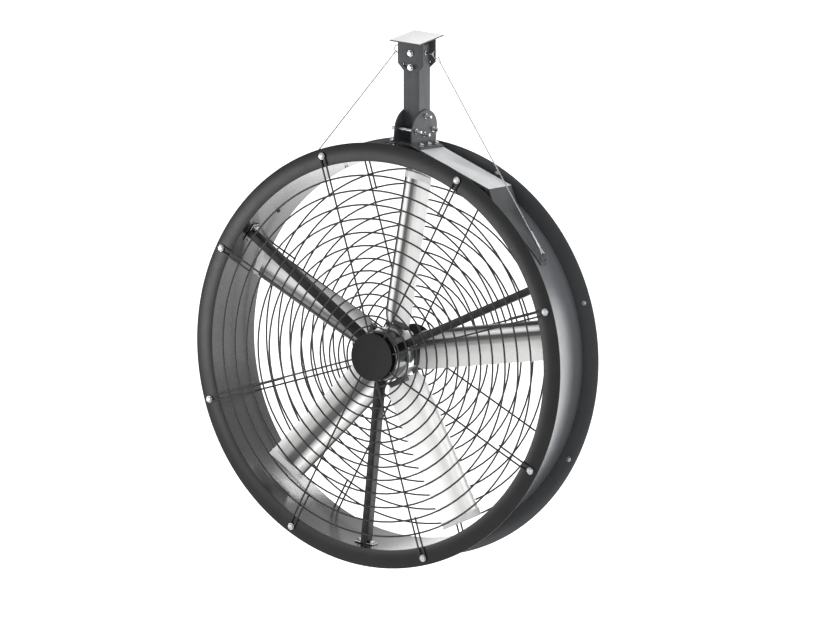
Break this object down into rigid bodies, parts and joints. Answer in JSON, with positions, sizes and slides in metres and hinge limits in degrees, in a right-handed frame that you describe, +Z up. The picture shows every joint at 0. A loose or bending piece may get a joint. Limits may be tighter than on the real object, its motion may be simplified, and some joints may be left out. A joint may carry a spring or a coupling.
{
  "type": "drum fan",
  "caption": "Ceiling-hung drum fan: a bracket and a rigid post carry a tilting, guarded drum with a bladed rotor on a fixed motor, steadied by wire stays.",
  "frame": {"origin": "centre of the ceiling plate's top face, which lies against the ceiling", "axes": "+Z up out of the ceiling face, -Y towards the side the air leaves by, +X to the right seen from that side"},
  "size_m": [1.5, 0.5154, 1.871],
  "materials": {
    "bracket_paint": "satin grey powder coat",
    "drum_paint": "satin black powder coat",
    "zinc": "zinc plated",
    "motor_paint": "satin grey enamel",
    "hub_casting": "cast, satin grey",
    "blade_alloy": "mill finish",
    "cap_plastic": "satin moulded",
    "stay_rope": "galvanised wire rope"
  },
  "bodies": {
    "ceiling_bracket": {"ceiling_bracket": "bracket_paint", "slope_pivot_bolt": "zinc"},
    "post": {"post": "bracket_paint", "slope_lock_bolt": "zinc", "tilt_pivot_bolt": "zinc", "left_eye_bolt": "zinc", "right_eye_bolt": "zinc"},
    "drum": {"left_ear": "bracket_paint", "right_ear": "bracket_paint", "tilt_clamp_bolt": "zinc", "front_stop_rod": "zinc", "rear_stop_rod": "zinc", "saddle": "bracket_paint", "left_foot_bolt_1": "zinc", "left_foot_bolt_2": "zinc", "left_foot_bolt_3": "zinc", "right_foot_bolt_1": "zinc", "right_foot_bolt_2": "zinc", "right_foot_bolt_3": "zinc", "front_flange_ring": "drum_paint", "rear_flange_ring": "drum_paint", "drum_wall": "drum_paint", "front_guard": "drum_paint", "rear_guard": "drum_paint", "front_centre_plate": "drum_paint", "front_guard_bolt_1": "zinc", "front_guard_bolt_2": "zinc", "front_guard_bolt_3": "zinc", "front_guard_bolt_4": "zinc", "front_guard_bolt_5": "zinc", "front_guard_bolt_6": "zinc", "front_guard_bolt_7": "zinc", "front_guard_bolt_8": "zinc", "rear_guard_bolt_1": "zinc", "rear_guard_bolt_2": "zinc", "rear_guard_bolt_3": "zinc", "rear_guard_bolt_4": "zinc", "rear_guard_bolt_5": "zinc", "rear_guard_bolt_6": "zinc", "rear_guard_bolt_7": "zinc", "rear_guard_bolt_8": "zinc", "strut_1": "drum_paint", "strut_2": "drum_paint", "strut_3": "drum_paint", "motor_housing": "motor_paint", "left_stay_anchor": "zinc", "right_stay_anchor": "zinc"},
    "rotor": {"rotor_hub": "hub_casting", "blade_1": "blade_alloy", "blade_2": "blade_alloy", "blade_3": "blade_alloy", "blade_4": "blade_alloy", "blade_5": "blade_alloy", "blade_cap_1": "cap_plastic", "blade_cap_2": "cap_plastic", "blade_cap_3": "cap_plastic", "blade_cap_4": "cap_plastic", "blade_cap_5": "cap_plastic"},
    "left_stay": {"left_stay": "stay_rope"},
    "right_stay": {"right_stay": "stay_rope"}
  },
  "joints": [
    {"name": "slope_swing", "type": "hinge", "parent": "ceiling_bracket", "child": "post", "pos_m": [0, 0, -0.049], "axis": [0, 1, 0], "range_deg": [-20, 20]},
    {"name": "drum_tilt", "type": "hinge", "parent": "post", "child": "drum", "pos_m": [0, 0, -0.278], "axis": [1, 0, 0], "range_deg": [-5.6, 24.3]},
    {"name": "rotor_spin", "type": "hinge", "parent": "drum", "child": "rotor", "pos_m": [0, -0.1552, -1.10885], "axis": [0, 0.9867, -0.1626], "continuous": true},
    {"name": "left_stay_turn", "type": "hinge", "parent": "drum", "child": "left_stay", "pos_m": [-0.55378, -0.06655, -0.679], "axis": [1, 0, 0], "range_deg": [-8.7, 2.2]},
    {"name": "right_stay_turn", "type": "hinge", "parent": "drum", "child": "right_stay", "pos_m": [0.55378, -0.06655, -0.679], "axis": [1, 0, 0], "range_deg": [-8.7, 2.2]}
  ],
  "couplings": [
    {"joint": "left_stay_turn", "follows": "drum_tilt", "ratio": -0.3455},
    {"joint": "right_stay_turn", "follows": "drum_tilt", "ratio": -0.3455}
  ]
}
